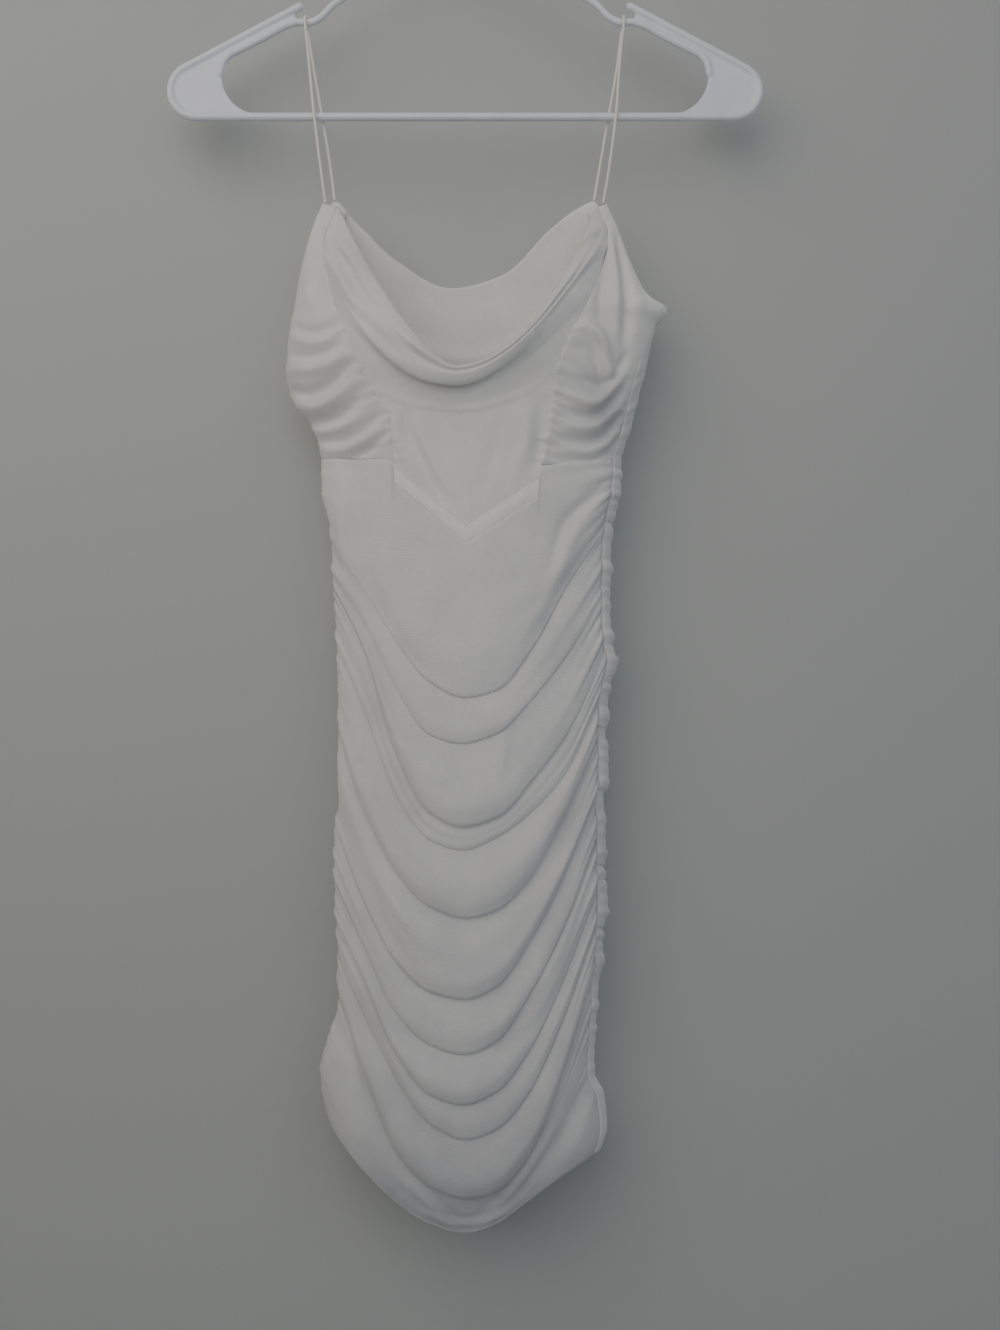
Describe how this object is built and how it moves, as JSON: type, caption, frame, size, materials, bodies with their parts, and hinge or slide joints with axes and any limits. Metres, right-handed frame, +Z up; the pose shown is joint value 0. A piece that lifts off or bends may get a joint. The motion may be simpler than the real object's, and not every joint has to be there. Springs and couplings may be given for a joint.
{
  "type": "bodycon dress on a hanger",
  "caption": "sleeveless ruched bodycon dress with a cowl neck and cord straps, hanging from a tubular plastic hanger",
  "frame": {"origin": "the top of the hook's inside, where a rod or nail carries the hanger", "axes": "+X to the right of the front view, +Y from the front of the dress to its back, +Z up"},
  "size_m": [0.4198, 0.0906, 0.9963],
  "materials": {
    "mesh_cloth": "soft doubled stretch mesh, ivory, matt with a faint sheen",
    "doubled_cloth": "turned and doubled stretch mesh, a little creamier",
    "strap_cord": "round cord of stretch mesh, cream",
    "hanger_plastic": "moulded white plastic, satin gloss"
  },
  "bodies": {
    "root": {"front_skirt": "mesh_cloth", "back_panel": "mesh_cloth", "centre_front": "mesh_cloth", "cup_left": "mesh_cloth", "cup_right": "mesh_cloth", "underbust_band": "doubled_cloth", "strap_left": "strap_cord", "strap_right": "strap_cord", "hanger": "hanger_plastic"}
  },
  "joints": []
}
